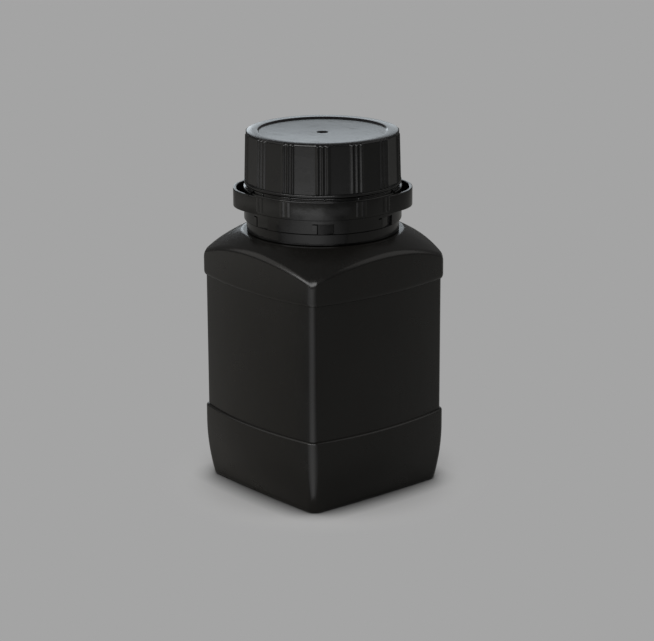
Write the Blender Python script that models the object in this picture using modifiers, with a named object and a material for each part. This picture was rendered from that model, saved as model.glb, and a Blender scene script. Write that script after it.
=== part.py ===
"""Square wide-mouth bottle: blown body, ribbed screw cap, sealing disc and tamper-evident ring.

Metres, +Z up. The origin is at the middle of the base, on the surface that the bottle stands on.
The body's four faces look along -X, +X, -Y and +Y. All round pieces share the Z axis.
"""
import math

import bmesh
import bpy
from mathutils import Matrix, Vector

# Body seen from above
BODY_SIDE = 0.0630
FACE_BOW_RADIUS = 0.1107
CORNER_RADIUS = 0.0035
PANEL_RECESS = 0.0008
BASE_SIDE = 0.0548
BASE_BOW_RADIUS = 0.6000
BASE_CORNER_RADIUS = 0.0034
BODY_WALL = 0.0013

# Body seen from the side
BASE_EDGE_RADIUS = 0.0012
FOOT_WIDTH = 0.0050
PUSH_UP = 0.0022
TAPER_TOP = 0.0190
PANEL_BOTTOM = 0.0237
PANEL_HEIGHT = 0.0463
STEP_HEIGHT = 0.0007
UPPER_LIP_HEIGHT = 0.00635
SHOULDER_FILLET = 0.0025
DOME_RISE = 0.0081
LAND_WIDTH = 0.0046
NOTCH_WIDTH = 0.0027
NOTCH_HEIGHT = 0.00045

# Neck
NECK_RADIUS = 0.0215
NECK_WALL = 0.0018
NECK_ROOT_FILLET = 0.0004
MOUTH_EDGE_RADIUS = 0.0005
BEAD_REACH = 0.0018
BEAD_HEIGHT = 0.0022

# Thread of the neck and the cap
THREAD_PITCH = 0.0040
THREAD_HEIGHT = 0.0011
THREAD_BASE = 0.0022
THREAD_CREST = 0.0008
NECK_THREAD_DROP = 0.0024
NECK_THREAD_RISE = 0.00255
CAP_THREAD_TURNS = 1.5
THREAD_FADE_TURNS = 0.07
THREAD_CLEARANCE = 0.0004

# Cap
CAP_WALL = 0.0023
CAP_HEIGHT = 0.0170
CAP_DRAFT = 0.0006
CAP_BAND_HEIGHT = 0.0008
CAP_EDGE = 0.0011
CAP_TOP_WALL = 0.00195
RIB_GROUPS = 14
RIB_GROUP_OFFSET = math.radians(-129.9)
RIB_PITCH = math.radians(3.65)
RIB_WIDTH = math.radians(2.5)
RIB_HEIGHT = 0.00040
RIM_WIDTH = 0.0050
DISC_DEPTH = 0.0003
GROOVE_WIDTH = 0.0005
GROOVE_DEPTH = 0.0003
DIMPLE_RADIUS = 0.0019
DIMPLE_DEPTH = 0.0009

# Sealing disc
LINER_REACH = 0.0007
LINER_THICKNESS = 0.0012

# Tamper-evident ring
RING_PLAY = 0.0006
RING_WALL = 0.0016
RING_FOOT_SETBACK = 0.0009
LIP_PLAY = 0.0009
RING_FOOT_HEIGHT = 0.0028
RING_TAPER_HEIGHT = 0.0009
LOWER_BAND_HEIGHT = 0.0045
UPPER_BAND_HEIGHT = 0.0059
BAND_GROOVE = 0.00015
CAP_GAP = 0.00115
WINDOWS = 7
WINDOW_SPAN = math.radians(12.4)
WINDOW_OFFSET = math.radians(-134.2)
WINDOW_HEIGHT = 0.0033
TONGUE_SPAN = math.radians(24.5)
TONGUE_TIP_SLIT = math.radians(3.2)
SLIT_HEIGHT = 0.00035
HOOK_REACH = 0.0012
HOOK_HEIGHT = 0.0016
EAR_REACH = 0.0033
EAR_ROOT_DEPTH = 0.0003
EAR_WALL = 0.0011
EAR_HEIGHT = 0.0058
EAR_DROP = 0.00055
EAR_SPAN = math.radians(86.0)
EAR_TIP_SPAN = math.radians(10.0)
EAR_AXIS = math.radians(-39.7)
TEAR_NOTCH_SIZE = 0.0012
TEAR_NOTCH_ANGLE = math.radians(27.5)
BAND_RIB_RADIUS = 0.00055
BAND_RIB_SPACING = math.radians(4.1)
BAND_RIB_ANGLES = (math.radians(38.2), math.radians(61.9))
BRIDGES = 14
BRIDGE_RADIUS = 0.00035

# Gap between pieces that touch
CLEARANCE = 0.0003
LEAST_RADIUS = 0.0002

# Fineness of the curved forms
FACE_STEPS = 4
CORNER_STEPS = 5
OUTER_STEPS = 5
INNER_STEPS = 3
RING_STEPS = 63
CAP_STEPS = 56
THREAD_STEPS = 42

# Levels that follow from the sizes above
PANEL_TOP = PANEL_BOTTOM + PANEL_HEIGHT
SHOULDER_EDGE = PANEL_TOP + UPPER_LIP_HEIGHT
LAND_LEVEL = SHOULDER_EDGE + DOME_RISE
RING_BOTTOM = LAND_LEVEL + CLEARANCE
LOWER_BAND_BOTTOM = RING_BOTTOM + RING_FOOT_HEIGHT + RING_TAPER_HEIGHT
UPPER_BAND_BOTTOM = LOWER_BAND_BOTTOM + LOWER_BAND_HEIGHT
RING_TOP = UPPER_BAND_BOTTOM + UPPER_BAND_HEIGHT
CAP_BOTTOM = RING_TOP + CAP_GAP
CAP_INNER_DEPTH = CAP_HEIGHT - DISC_DEPTH - CAP_TOP_WALL
LINER_TOP = CAP_BOTTOM + CAP_INNER_DEPTH - CLEARANCE
MOUTH_LEVEL = LINER_TOP - LINER_THICKNESS - CLEARANCE
NECK_THREAD_START = CAP_BOTTOM + NECK_THREAD_RISE
NECK_THREAD_TURNS = (MOUTH_LEVEL - NECK_THREAD_DROP - NECK_THREAD_START) / THREAD_PITCH
WINDOW_TOP = LOWER_BAND_BOTTOM + WINDOW_HEIGHT
HOOK_TOP = WINDOW_TOP - 2 * SLIT_HEIGHT
BEAD_BOTTOM = HOOK_TOP + CLEARANCE

# Radii that follow from the sizes above
LAND_RADIUS = NECK_RADIUS + LAND_WIDTH
BORE_RADIUS = NECK_RADIUS - NECK_WALL
CAP_BORE = NECK_RADIUS + THREAD_HEIGHT + THREAD_CLEARANCE
CAP_RADIUS = CAP_BORE + CAP_WALL
DISC_RADIUS = CAP_RADIUS - RIM_WIDTH
LINER_RADIUS = NECK_RADIUS + LINER_REACH
LINER_POCKET = LINER_RADIUS + CLEARANCE
RING_BORE = NECK_RADIUS + BEAD_REACH + RING_PLAY
RING_RADIUS = RING_BORE + RING_WALL
RING_FOOT_RADIUS = RING_RADIUS - RING_FOOT_SETBACK
RING_LIP_RADIUS = NECK_RADIUS + LIP_PLAY
EAR_RADIUS = RING_RADIUS + EAR_REACH
RING_POINTS = 4 * (2 * FACE_STEPS + CORNER_STEPS)


def clear_scene():
    for old in list(bpy.data.objects):
        bpy.data.objects.remove(old)


def make_collection(name):
    collection = bpy.data.collections.new(name)
    bpy.context.scene.collection.children.link(collection)
    return collection


def plastic(name, colour, roughness):
    material = bpy.data.materials.new(name)
    material.use_nodes = True
    shader = material.node_tree.nodes["Principled BSDF"]
    shader.inputs["Base Color"].default_value = (*colour, 1.0)
    shader.inputs["Roughness"].default_value = roughness
    shader.inputs["Metallic"].default_value = 0.0
    return material


def add_object(name, data, collection, level=0.0):
    obj = bpy.data.objects.new(name, data)
    obj.location.z = level
    collection.objects.link(obj)
    return obj


def add_tool(name, data, level=0.0):
    """A shape that is only joined to a part or cut out of it."""
    tool = add_object(name, data, TOOLS, level)
    tool.hide_render = True
    tool.display_type = "WIRE"
    return tool


def add_boolean(part, tool, operation):
    boolean = part.modifiers.new(tool.name, "BOOLEAN")
    boolean.operation = operation
    boolean.solver = "EXACT"
    boolean.object = tool


def finish_part(part, material):
    part.data.materials.append(material)
    part.data.shade_smooth()
    part.data.set_sharp_from_angle(angle=math.radians(30))
    part.parent = BOTTLE


def polar(radius, angle, level=0.0):
    return Vector((radius * math.cos(angle), radius * math.sin(angle), level))


def loft(name, rows):
    """A closed mesh through rows of points, each row going round anticlockwise, the first one below."""
    mesh = bmesh.new()
    rings = [[mesh.verts.new(point) for point in row] for row in rows]
    count = len(rings[0])
    for low, high in zip(rings[:-1], rings[1:]):
        for i in range(count):
            j = (i + 1) % count
            mesh.faces.new((low[i], low[j], high[j], high[i]))
    mesh.faces.new(rings[0][::-1])
    mesh.faces.new(rings[-1])
    bmesh.ops.recalc_face_normals(mesh, faces=mesh.faces)
    data = bpy.data.meshes.new(name)
    mesh.to_mesh(data)
    mesh.free()
    return data


def turned(name, profile, steps, collection, level=0.0, closed=True):
    """A profile of (radius, height) points turned round Z. It runs down its outer side."""
    data = bpy.data.meshes.new(name)
    edges = [(i, i + 1) for i in range(len(profile) - 1)]
    if closed:
        edges.append((len(profile) - 1, 0))
    data.from_pydata([(radius, 0.0, height) for radius, height in profile], edges, [])
    obj = add_object(name, data, collection, level)
    screw = obj.modifiers.new("turn", "SCREW")
    screw.steps = steps
    screw.render_steps = steps
    screw.use_merge_vertices = True
    screw.merge_threshold = 0.00001
    return obj


def turned_tool(name, profile, steps, level=0.0):
    tool = turned(name, profile, steps, TOOLS, level, closed=False)
    tool.hide_render = True
    tool.display_type = "WIRE"
    return tool


def sector(inner, outer, start, span, level, steps):
    """Points round a piece of a ring seen from above, anticlockwise."""
    angles = [start + span * i / steps for i in range(steps + 1)]
    there = [polar(outer, angle, level) for angle in angles]
    back = [polar(inner, angle, level) for angle in reversed(angles)]
    return there + back


def mesh_from_curve(curve_object):
    """The curve's own surface as a mesh with its edges welded. The curve is removed."""
    graph = bpy.context.evaluated_depsgraph_get()
    data = bpy.data.meshes.new_from_object(curve_object.evaluated_get(graph))
    welded = bmesh.new()
    welded.from_mesh(data)
    bmesh.ops.remove_doubles(welded, verts=welded.verts, dist=0.000001)
    bmesh.ops.recalc_face_normals(welded, faces=welded.faces)
    welded.to_mesh(data)
    welded.free()
    bpy.data.objects.remove(curve_object)
    return data


def flat_curve(name, points, half_height, cyclic):
    """A flat line of points with walls of the given half height, filled when it is closed."""
    curve = bpy.data.curves.new(name, "CURVE")
    curve.dimensions = "2D"
    curve.fill_mode = "BOTH" if cyclic else "NONE"
    curve.extrude = half_height
    spline = curve.splines.new("POLY")
    spline.points.add(len(points) - 1)
    for target, point in zip(spline.points, points):
        target.co = (point.x, point.y, 0.0, 1.0)
    spline.use_cyclic_u = cyclic
    holder = bpy.data.objects.new(name, curve)
    TOOLS.objects.link(holder)
    bpy.context.view_layer.update()
    return mesh_from_curve(holder)


def slab(name, outline, low, high):
    """A flat outline given a thickness, as a joined or cutting shape."""
    data = flat_curve(name, outline, (high - low) / 2, cyclic=True)
    return add_tool(name, data, (low + high) / 2)


def bars(name, places, radius, low, high, lean=0.0):
    """Upright round bars at (radius, angle) places, leaning in towards the axis at their top."""
    mesh = bmesh.new()
    length = high - low
    for reach, angle in places:
        upright = Matrix.Translation(Vector((reach, 0.0, (low + high) / 2))) @ Matrix.Rotation(-lean, 4, "Y")
        bmesh.ops.create_cone(
            mesh,
            cap_ends=True,
            segments=8,
            radius1=radius,
            radius2=radius,
            depth=length,
            matrix=Matrix.Rotation(angle, 4, "Z") @ upright,
        )
    data = bpy.data.meshes.new(name)
    mesh.to_mesh(data)
    mesh.free()
    return add_tool(name, data)


def plan_outline(side, bow_radius, corner_radius):
    """The body's outline from above, as (point, outward direction): four bowed faces and round corners."""
    corner_radius = max(corner_radius, LEAST_RADIUS)
    shift = bow_radius - side / 2
    reach = bow_radius - corner_radius
    centre = (math.sqrt(2 * reach**2 - shift**2) - shift) / 2
    meet = math.atan2(centre, centre + shift)
    quarter = []
    for i in range(FACE_STEPS):
        out = polar(1.0, meet * i / FACE_STEPS)
        quarter.append((out * bow_radius - Vector((shift, 0.0, 0.0)), out))
    for i in range(CORNER_STEPS + 1):
        out = polar(1.0, meet + (math.pi / 2 - 2 * meet) * i / CORNER_STEPS)
        quarter.append((out * corner_radius + Vector((centre, centre, 0.0)), out))
    for i in range(1, FACE_STEPS):
        out = polar(1.0, math.pi / 2 - meet + meet * i / FACE_STEPS)
        quarter.append((out * bow_radius - Vector((0.0, shift, 0.0)), out))
    outline = []
    for turn in range(4):
        spin = Matrix.Rotation(turn * math.pi / 2, 3, "Z")
        outline += [(spin @ point, spin @ out) for point, out in quarter]
    return outline


def at_level(outline, level, moved_in=0.0, scale=1.0):
    return [(point - out * moved_in) * scale + Vector((0.0, 0.0, level)) for point, out in outline]


def blended(low_outline, high_outline, share, level):
    """A row between two outlines; share 1 is the low one."""
    pairs = zip(low_outline, high_outline)
    return [high.lerp(low, share) + Vector((0.0, 0.0, level)) for (low, _), (high, _) in pairs]


def circle(radius, level):
    return [polar(radius, 2 * math.pi * i / RING_POINTS, level) for i in range(RING_POINTS)]


def body_rows(inset, top_radius, steps):
    """Rows from the middle of the base to the land round the neck, at a depth under the outer surface."""
    lip = plan_outline(BODY_SIDE - 2 * inset, FACE_BOW_RADIUS - inset, CORNER_RADIUS - inset)
    deep = inset + PANEL_RECESS
    panel = plan_outline(BODY_SIDE - 2 * deep, FACE_BOW_RADIUS - deep, CORNER_RADIUS - deep)
    base = plan_outline(BASE_SIDE - 2 * inset, BASE_BOW_RADIUS - inset, BASE_CORNER_RADIUS - inset)
    edge = max(BASE_EDGE_RADIUS - inset, LEAST_RADIUS)
    return (
        base_rows(base, edge, inset, steps - 2)
        + side_rows(base, lip, panel, inset + edge, steps)
        + shoulder_rows(lip, inset, top_radius, steps)
    )


def base_rows(base, edge, inset, steps):
    """The pushed-up middle, rounder towards the axis, the flat foot and the rounded edge round it."""
    foot_scale = 1 - FOOT_WIDTH / (BASE_SIDE / 2)
    rows = []
    for share in (0.3, 0.7, 1.0):
        level = inset + PUSH_UP * (1 - share**2)
        round_row = circle(share * foot_scale * BASE_SIDE / 2, level)
        square_row = at_level(base, level, scale=share * foot_scale)
        rows.append([low.lerp(high, share) for low, high in zip(round_row, square_row)])
    for i in range(steps + 1):
        angle = math.pi / 2 * i / steps
        rows.append(at_level(base, inset + edge * (1 - math.cos(angle)), moved_in=edge * (1 - math.sin(angle))))
    return rows


def side_rows(base, lip, panel, start, steps):
    """The curve from the foot to the lower lip, and the sunk label panel between the two lips."""
    rows = []
    for i in range(1, steps + 1):
        rise = i / steps
        rows.append(blended(base, lip, (1 - rise) ** 2, start + (TAPER_TOP - start) * rise))
    rows.append(at_level(lip, PANEL_BOTTOM))
    rows.append(at_level(panel, PANEL_BOTTOM + STEP_HEIGHT))
    rows.append(at_level(panel, PANEL_TOP - STEP_HEIGHT))
    rows.append(at_level(lip, PANEL_TOP))
    return rows


def shoulder_rows(lip, inset, top_radius, steps):
    """The rounded arches where the dome meets the faces, then the dome up to the land round the neck."""
    corner_reach = plan_reach()
    centre_drop = (corner_reach**2 - LAND_RADIUS**2 - DOME_RISE**2) / (2 * DOME_RISE)
    dome_centre = SHOULDER_EDGE - centre_drop
    dome_radius = math.hypot(corner_reach, centre_drop) - inset
    fillet = max(SHOULDER_FILLET - inset, LEAST_RADIUS)

    def dome(point):
        return dome_centre + math.sqrt(dome_radius**2 - point.length_squared)

    rows = []
    for i in range(steps + 1):
        row = []
        for point, out in lip:
            edge_level = dome(point)
            slope = point.dot(out) / math.sqrt(dome_radius**2 - point.length_squared)
            turn = math.pi / 2 - math.atan(slope)
            angle = turn * i / steps
            back = fillet * (1 - math.cos(angle))
            place = point - out * back
            sag = dome(place) - (edge_level + slope * back)
            level = edge_level - fillet * math.tan(turn / 2) + fillet * math.sin(angle) + sag
            row.append(place + Vector((0.0, 0.0, level)))
        rows.append(row)
    start = [Vector((point.x, point.y, 0.0)) for point in rows[-1]]
    for i in range(1, steps + 1):
        flat = [low.lerp(high, i / steps) for low, high in zip(start, circle(top_radius, 0.0))]
        ceiling = LAND_LEVEL - inset
        rows.append([point + Vector((0.0, 0.0, min(dome(point), ceiling))) for point in flat])
    return rows


def plan_reach():
    """Distance from the axis to the outermost point of a body corner."""
    outline = plan_outline(BODY_SIDE, FACE_BOW_RADIUS, CORNER_RADIUS)
    return max(point.length for point, _ in outline)


def neck_rows():
    """The neck's outside with its locking bead, the rounded mouth and the bore."""
    bead_radius = NECK_RADIUS + BEAD_REACH
    edge = MOUTH_EDGE_RADIUS
    rows = [
        circle(NECK_RADIUS + NECK_ROOT_FILLET, LAND_LEVEL),
        circle(NECK_RADIUS, LAND_LEVEL + NECK_ROOT_FILLET),
        circle(NECK_RADIUS, BEAD_BOTTOM),
        circle(bead_radius, BEAD_BOTTOM + 0.1 * BEAD_HEIGHT),
        circle(bead_radius, BEAD_BOTTOM + 0.4 * BEAD_HEIGHT),
        circle(NECK_RADIUS, BEAD_BOTTOM + BEAD_HEIGHT),
        circle(NECK_RADIUS, MOUTH_LEVEL - edge),
        circle(NECK_RADIUS - 0.3 * edge, MOUTH_LEVEL - 0.3 * edge),
        circle(NECK_RADIUS - edge, MOUTH_LEVEL),
        circle(BORE_RADIUS + edge, MOUTH_LEVEL),
        circle(BORE_RADIUS, MOUTH_LEVEL - edge),
        circle(BORE_RADIUS, LAND_LEVEL),
    ]
    return rows


def thread(name, wall_radius, inward, start_level, start_angle, turns):
    """A helical bar of trapezoid section on a round wall, sinking into the wall at both ends."""
    towards = -1 if inward else 1
    root = wall_radius - towards * 0.4 * THREAD_HEIGHT
    crest = wall_radius + towards * THREAD_HEIGHT
    sunk = wall_radius - towards * 0.2 * THREAD_HEIGHT
    flank = (THREAD_BASE - THREAD_CREST) / 2 / THREAD_HEIGHT
    half_root = THREAD_CREST / 2 + flank * abs(crest - root)
    half_crest = THREAD_CREST / 2
    steps = round(turns * THREAD_STEPS)
    rows = []
    for i in range(steps + 1):
        share = i / steps
        to_end = min(share, 1 - share) * turns / THREAD_FADE_TURNS
        tip = sunk + (crest - sunk) * min(1.0, to_end)
        angle = start_angle + 2 * math.pi * turns * share
        level = start_level + THREAD_PITCH * turns * share
        rows.append([
            polar(root, angle, level - half_root),
            polar(tip, angle, level - half_crest),
            polar(tip, angle, level + half_crest),
            polar(root, angle, level + half_root),
        ])
    return add_tool(name, loft(name, rows))


def make_bottle_body():
    outside = body_rows(0.0, LAND_RADIUS, OUTER_STEPS)
    inside = body_rows(BODY_WALL, BORE_RADIUS + NECK_ROOT_FILLET, INNER_STEPS)
    rows = outside + neck_rows() + inside[::-1]
    body = add_object("bottle_body", loft("bottle_body", rows), PARTS)
    helix = thread("neck_thread", NECK_RADIUS, False, NECK_THREAD_START, 0.0, NECK_THREAD_TURNS)
    add_boolean(body, helix, "UNION")
    notch_radius = (NOTCH_HEIGHT**2 + (NOTCH_WIDTH / 2) ** 2) / (2 * NOTCH_HEIGHT)
    bpy.ops.mesh.primitive_cylinder_add(
        vertices=48,
        radius=notch_radius,
        depth=1.2 * BASE_SIDE,
        location=(0.0, 0.0, NOTCH_HEIGHT - notch_radius),
        rotation=(math.pi / 2, 0.0, 0.0),
    )
    notch = bpy.context.active_object
    notch.name = "parting_notch"
    for holder in list(notch.users_collection):
        holder.objects.unlink(notch)
    TOOLS.objects.link(notch)
    notch.hide_render = True
    notch.display_type = "WIRE"
    add_boolean(body, notch, "DIFFERENCE")
    finish_part(body, plastic("black_polyethylene", (0.012, 0.012, 0.011), 0.45))


def ribbed_row(radius, level, rib_height):
    """Round the cap: groups of three ribs, each from its foot over its crest, and flats where there are ribs."""
    half_gap = math.pi / RIB_GROUPS - RIB_PITCH - RIB_WIDTH / 2
    flat = math.cos(half_gap) if rib_height else 1.0
    row = []
    for group in range(RIB_GROUPS):
        middle = RIB_GROUP_OFFSET + 2 * math.pi * group / RIB_GROUPS
        for rib in (-1, 0, 1):
            for side, lift in ((-0.5, 0.0), (-0.22, rib_height), (0.22, rib_height), (0.5, 0.0)):
                angle = middle + rib * RIB_PITCH + side * RIB_WIDTH
                row.append(polar(radius + lift, angle, level))
        row.append(polar(radius * flat, middle + math.pi / RIB_GROUPS, level))
    return row


def cap_outside():
    """The cap's outer form: smooth foot band, ribbed skirt with a slight draft, and rounded top edge."""
    top = CAP_HEIGHT
    foot_edge = 0.2 * CAP_BAND_HEIGHT
    ribs_end = top - 1.4 * CAP_EDGE
    upper = CAP_RADIUS - CAP_DRAFT
    rows = [
        ribbed_row(CAP_RADIUS, 0.0, 0.0),
        ribbed_row(CAP_RADIUS, CAP_BAND_HEIGHT, 0.0),
        ribbed_row(CAP_RADIUS - RIB_HEIGHT, CAP_BAND_HEIGHT + foot_edge, RIB_HEIGHT),
        ribbed_row(upper - RIB_HEIGHT, ribs_end, RIB_HEIGHT),
        ribbed_row(upper - RIB_HEIGHT, ribs_end + RIB_HEIGHT, 0.0),
        ribbed_row(upper - 0.3 * CAP_EDGE, top - 0.3 * CAP_EDGE, 0.0),
        ribbed_row(upper - CAP_EDGE, top, 0.0),
    ]
    return loft("screw_cap", rows)


def make_screw_cap():
    cap = add_object("screw_cap", cap_outside(), PARTS, CAP_BOTTOM)
    over = CAP_HEIGHT
    hollow = [
        (0.0, CAP_INNER_DEPTH),
        (LINER_POCKET, CAP_INNER_DEPTH),
        (LINER_POCKET, CAP_INNER_DEPTH - CLEARANCE - LINER_THICKNESS),
        (CAP_BORE, CAP_INNER_DEPTH - LINER_THICKNESS - THREAD_HEIGHT),
        (CAP_BORE, -over),
        (0.0, -over),
    ]
    add_boolean(cap, turned_tool("cap_hollow", hollow, CAP_STEPS, CAP_BOTTOM), "DIFFERENCE")
    disc_level = CAP_HEIGHT - DISC_DEPTH
    sunk_disc = [
        (0.0, CAP_HEIGHT + over),
        (DISC_RADIUS, CAP_HEIGHT + over),
        (DISC_RADIUS, disc_level - GROOVE_DEPTH),
        (DISC_RADIUS - GROOVE_WIDTH, disc_level - GROOVE_DEPTH),
        (DISC_RADIUS - GROOVE_WIDTH, disc_level),
        (DIMPLE_RADIUS, disc_level),
        (0.8 * DIMPLE_RADIUS, disc_level - DIMPLE_DEPTH),
        (0.0, disc_level - DIMPLE_DEPTH),
    ]
    add_boolean(cap, turned_tool("cap_sunk_disc", sunk_disc, CAP_STEPS, CAP_BOTTOM), "DIFFERENCE")
    # The cap's thread bears on the underside of the neck's: it lies half a pitch off, raised to the clearance.
    flank = (THREAD_BASE - THREAD_CREST) / 2 / THREAD_HEIGHT
    width_there = THREAD_BASE - 2 * flank * THREAD_CLEARANCE
    play = (THREAD_PITCH - THREAD_CREST - width_there) / 2 - CLEARANCE * math.hypot(1.0, flank)
    start_turn = 0.25
    start_level = NECK_THREAD_START - THREAD_PITCH / 2 + play + THREAD_PITCH * start_turn
    helix = thread("cap_thread", CAP_BORE, True, start_level, 2 * math.pi * start_turn, CAP_THREAD_TURNS)
    add_boolean(cap, helix, "UNION")
    finish_part(cap, plastic("black_gloss_cap", (0.010, 0.010, 0.010), 0.25))


def make_sealing_disc():
    profile = [
        (0.0, LINER_THICKNESS),
        (LINER_RADIUS, LINER_THICKNESS),
        (LINER_RADIUS, 0.0),
        (0.0, 0.0),
    ]
    level = LINER_TOP - LINER_THICKNESS
    disc = turned("sealing_disc", profile, CAP_STEPS, PARTS, level, closed=False)
    finish_part(disc, plastic("white_foam", (0.80, 0.80, 0.78), 0.60))


def ear_path():
    """The middle line of one pull ear about +X: it leaves the ring's wall gently, swells and comes back."""
    root = RING_RADIUS - EAR_ROOT_DEPTH - EAR_WALL / 2
    swell = EAR_RADIUS - EAR_WALL / 2 - root
    steps = 9
    half = [polar(root + swell, 0.0)]
    for i in range(steps + 1):
        angle = (EAR_TIP_SPAN + (EAR_SPAN - EAR_TIP_SPAN) * i / steps) / 2
        lift = 0.5 + 0.5 * math.cos(math.pi * i / steps)
        half.append(polar(root + swell * lift, angle))
    mirrored = [Vector((point.x, -point.y, 0.0)) for point in reversed(half[1:])]
    return mirrored + half


def make_ears(ring):
    level = RING_TOP - EAR_DROP - EAR_HEIGHT / 2
    for index in range(2):
        name = f"ear_{index + 1}"
        ear = add_tool(name, flat_curve(name, ear_path(), EAR_HEIGHT / 2, cyclic=False), level)
        ear.rotation_euler.z = EAR_AXIS + index * math.pi
        wall = ear.modifiers.new("wall", "SOLIDIFY")
        wall.thickness = EAR_WALL
        wall.offset = 0.0
        wall.use_even_offset = True
        add_boolean(ring, ear, "UNION")


def tear_notches(ring):
    """V cuts through the ring's top edge beside the ears' roots, where a pull tears the ring open."""
    mesh = bmesh.new()
    reach = (RING_BORE + EAR_RADIUS) / 2
    length = 1.2 * (EAR_RADIUS - RING_BORE)
    for axis in (EAR_AXIS, EAR_AXIS + math.pi):
        for side in (-1, 1):
            turn = Matrix.Rotation(axis + side * TEAR_NOTCH_ANGLE, 4, "Z")
            place = turn @ Matrix.Translation((reach, 0.0, RING_TOP)) @ Matrix.Rotation(math.pi / 4, 4, "X")
            size = Matrix.Diagonal((length, TEAR_NOTCH_SIZE, TEAR_NOTCH_SIZE, 1.0))
            bmesh.ops.create_cube(mesh, size=1.0, matrix=place @ size)
    data = bpy.data.meshes.new("tear_notches")
    mesh.to_mesh(data)
    mesh.free()
    add_boolean(ring, add_tool("tear_notches", data), "DIFFERENCE")


def make_latches(ring):
    """Round the lower band: a window, the slits that free one tongue, and the tongue's inner hook."""
    low = LOWER_BAND_BOTTOM
    inside = RING_LIP_RADIUS
    outside = RING_RADIUS + RING_WALL
    for index in range(WINDOWS):
        start = WINDOW_OFFSET + 2 * math.pi * index / WINDOWS
        number = index + 1
        window = slab(f"window_{number}", sector(inside, outside, start, WINDOW_SPAN, 0.0, 3), low, WINDOW_TOP)
        add_boolean(ring, window, "DIFFERENCE")
        slit_outline = sector(inside, outside, start - TONGUE_SPAN, TONGUE_SPAN + WINDOW_SPAN / 4, 0.0, 6)
        slit = slab(f"slit_{number}", slit_outline, low, low + SLIT_HEIGHT)
        add_boolean(ring, slit, "DIFFERENCE")
        tip_outline = sector(inside, outside, start - TONGUE_TIP_SLIT, TONGUE_TIP_SLIT + WINDOW_SPAN / 4, 0.0, 1)
        tip_slit = slab(f"tip_slit_{number}", tip_outline, WINDOW_TOP - SLIT_HEIGHT, WINDOW_TOP)
        add_boolean(ring, tip_slit, "DIFFERENCE")
        wall_middle = RING_BORE + RING_WALL / 2
        hook_tip = RING_BORE - HOOK_REACH
        hook_start = start - 0.85 * TONGUE_SPAN
        hook_span = 0.75 * TONGUE_SPAN
        hook = loft(f"hook_{number}", [
            sector(RING_BORE - 0.1 * HOOK_REACH, wall_middle, hook_start, hook_span, HOOK_TOP - HOOK_HEIGHT, 5),
            sector(hook_tip, wall_middle, hook_start, hook_span, HOOK_TOP - 0.3 * HOOK_HEIGHT, 5),
            sector(hook_tip, wall_middle, hook_start, hook_span, HOOK_TOP, 5),
        ])
        add_boolean(ring, add_tool(f"hook_{number}", hook), "UNION")


def make_band_ribs(ring):
    """Pairs of low upright ribs on the upper band, and the stubs of the bridges on its top edge."""
    places = []
    for ear in (EAR_AXIS, EAR_AXIS + math.pi):
        for side in (-1, 1):
            for angle in BAND_RIB_ANGLES:
                for half in (-0.5, 0.5):
                    places.append((RING_RADIUS - 0.4 * BAND_RIB_RADIUS, ear + side * angle + half * BAND_RIB_SPACING))
    low = UPPER_BAND_BOTTOM + 0.1 * UPPER_BAND_HEIGHT
    high = RING_TOP - 0.1 * UPPER_BAND_HEIGHT
    add_boolean(ring, bars("band_ribs", places, BAND_RIB_RADIUS, low, high), "UNION")
    stubs = [(RING_BORE + 1.2 * BRIDGE_RADIUS, 2 * math.pi * i / BRIDGES) for i in range(BRIDGES)]
    stub_foot = RING_TOP - BRIDGE_RADIUS
    add_boolean(ring, bars("bridge_stubs", stubs, BRIDGE_RADIUS, stub_foot, CAP_BOTTOM - CLEARANCE), "UNION")


def make_tamper_ring():
    edge = BAND_GROOVE
    lower_bottom = LOWER_BAND_BOTTOM - RING_BOTTOM
    upper_bottom = UPPER_BAND_BOTTOM - RING_BOTTOM
    top = RING_TOP - RING_BOTTOM
    lip_slope = RING_BORE - RING_LIP_RADIUS
    profile = [
        (RING_RADIUS - edge, top),
        (RING_RADIUS, top - edge),
        (RING_RADIUS, upper_bottom),
        (RING_RADIUS - edge, upper_bottom - edge),
        (RING_RADIUS - edge, lower_bottom),
        (RING_FOOT_RADIUS, RING_FOOT_HEIGHT),
        (RING_FOOT_RADIUS, edge),
        (RING_FOOT_RADIUS - edge, 0.0),
        (RING_LIP_RADIUS, 0.0),
        (RING_LIP_RADIUS, RING_FOOT_HEIGHT / 2),
        (RING_BORE, RING_FOOT_HEIGHT / 2 + lip_slope),
        (RING_BORE, top),
    ]
    ring = turned("tamper_ring", profile, RING_STEPS, PARTS, RING_BOTTOM)
    make_ears(ring)
    tear_notches(ring)
    make_latches(ring)
    make_band_ribs(ring)
    finish_part(ring, plastic("black_gloss_ring", (0.010, 0.010, 0.010), 0.22))


clear_scene()
PARTS = make_collection("wide_mouth_bottle")
TOOLS = make_collection("joined_and_cutting_shapes")
BOTTLE = add_object("bottle", None, PARTS)
make_bottle_body()
make_screw_cap()
make_sealing_disc()
make_tamper_ring()
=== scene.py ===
"""Looks of the square wide-mouth bottle: fine forms, materials, light and camera."""
import math
from itertools import product

import bmesh
import bpy
from mathutils import Matrix, Vector


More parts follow.
